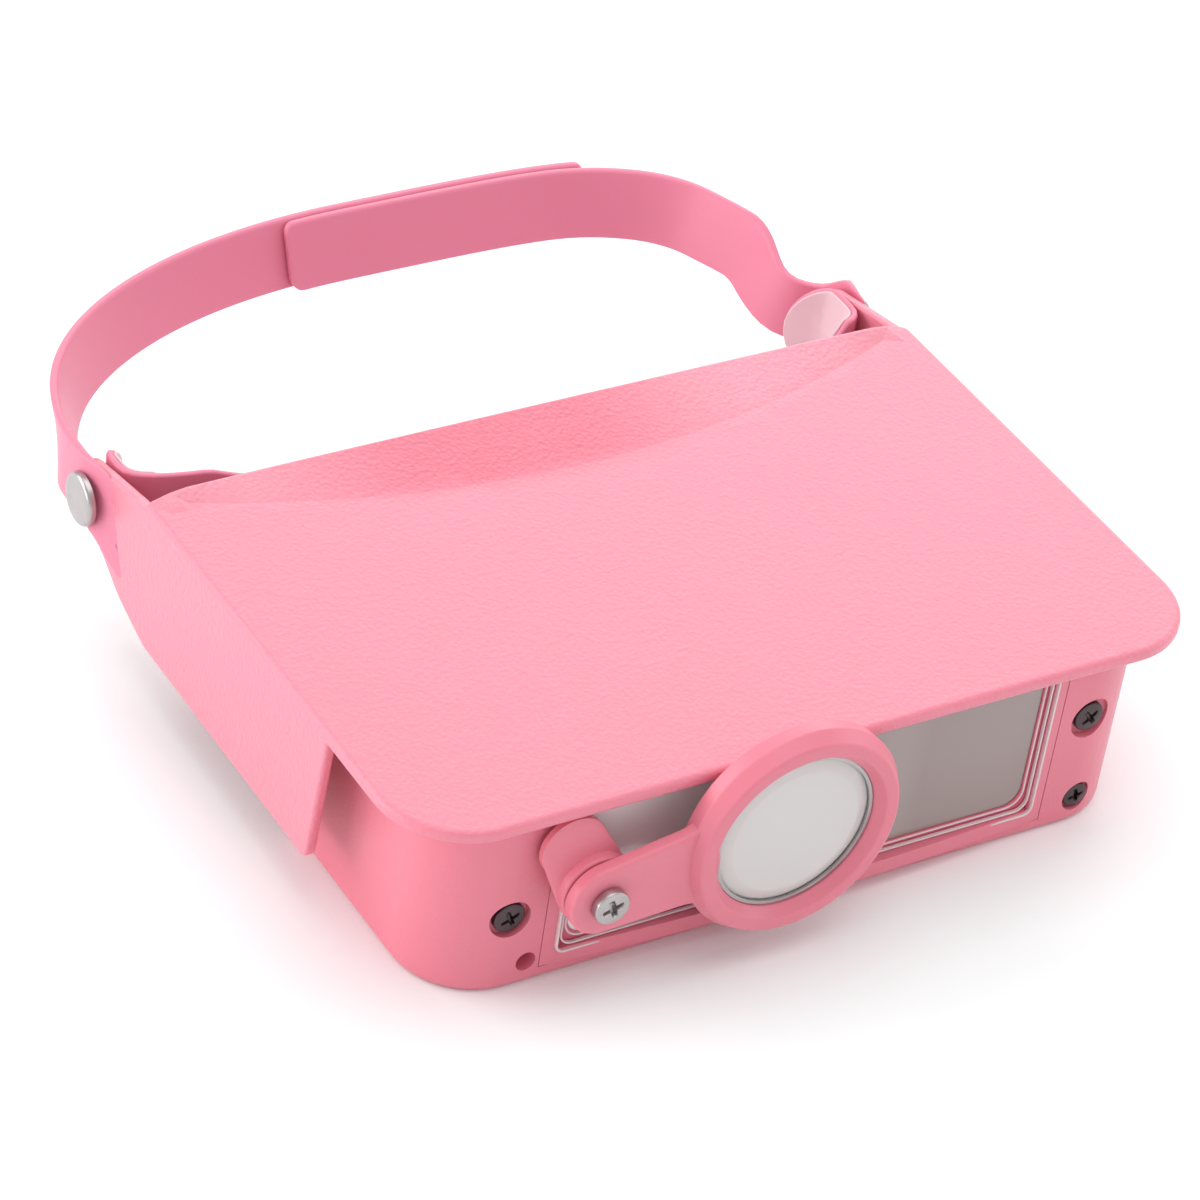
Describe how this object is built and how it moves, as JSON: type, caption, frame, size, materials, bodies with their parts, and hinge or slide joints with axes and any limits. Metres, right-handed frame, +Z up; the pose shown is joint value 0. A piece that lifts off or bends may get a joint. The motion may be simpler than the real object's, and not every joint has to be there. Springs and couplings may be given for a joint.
{
  "type": "head visor magnifier",
  "caption": "Headband visor magnifier: hood with framed front lens, inner flip lens, swing-away round loupe and riveted wrap-round straps.",
  "frame": {"origin": "middle of the whole object's footprint, on the plane of the lens housing's underside", "axes": "+X to the right as seen from the front, +Y from the front lens towards the back of the head, +Z up"},
  "size_m": [0.209, 0.2332, 0.0594],
  "materials": {
    "pink_shell": "fine leather grain, semi-gloss",
    "pink_housing": "fine grain, satin",
    "pink_strap": "smooth, satin",
    "deep_pink": "smooth, satin",
    "clear": "polished",
    "glass": "polished",
    "steel": "satin",
    "dark_steel": "blackened, satin",
    "nylon": "smooth",
    "brass": "turned",
    "foam": "foam",
    "lining": "soft, fine grain",
    "fastener": "hook and loop"
  },
  "bodies": {
    "visor": {"hood_shell": "pink_shell", "lens_housing": "pink_housing", "lens_frame": "pink_housing", "front_lens": "clear", "lens_retainer": "deep_pink", "cheek_screws": "dark_steel", "loupe_post": "pink_housing", "loupe_insert": "brass", "loupe_screw": "steel", "loupe_washer": "steel", "loupe_friction_washer": "nylon", "flip_brackets": "deep_pink", "bracket_screws": "steel"},
    "loupe": {"loupe_frame": "pink_housing", "loupe_lens": "glass", "loupe_retaining_ring": "steel"},
    "inner_lens": {"flip_frame": "deep_pink", "flip_lens": "clear", "flip_pins": "steel"},
    "headband": {"left_strap": "pink_strap", "right_strap": "pink_strap", "hook_pad": "fastener", "loop_pad": "fastener", "forehead_band": "pink_strap", "forehead_foam": "foam", "forehead_lining": "lining", "left_rivet": "steel", "right_rivet": "steel", "rivet_backs": "steel", "outer_washers": "nylon", "inner_washers": "nylon"}
  },
  "joints": [
    {"name": "visor_tilt", "type": "hinge", "parent": "visor", "child": "headband", "pos_m": [0, 0.0416, 0.0356], "axis": [1, 0, 0], "range_deg": [-15, 80]},
    {"name": "inner_lens_flip", "type": "hinge", "parent": "visor", "child": "inner_lens", "pos_m": [0, -0.0919, 0.04], "axis": [1, 0, 0], "range_deg": [0, 80]},
    {"name": "loupe_swing", "type": "hinge", "parent": "visor", "child": "loupe", "pos_m": [-0.0575, -0.1124, 0.0284], "axis": [0, -1, 0], "range_deg": [-35, 110]}
  ]
}
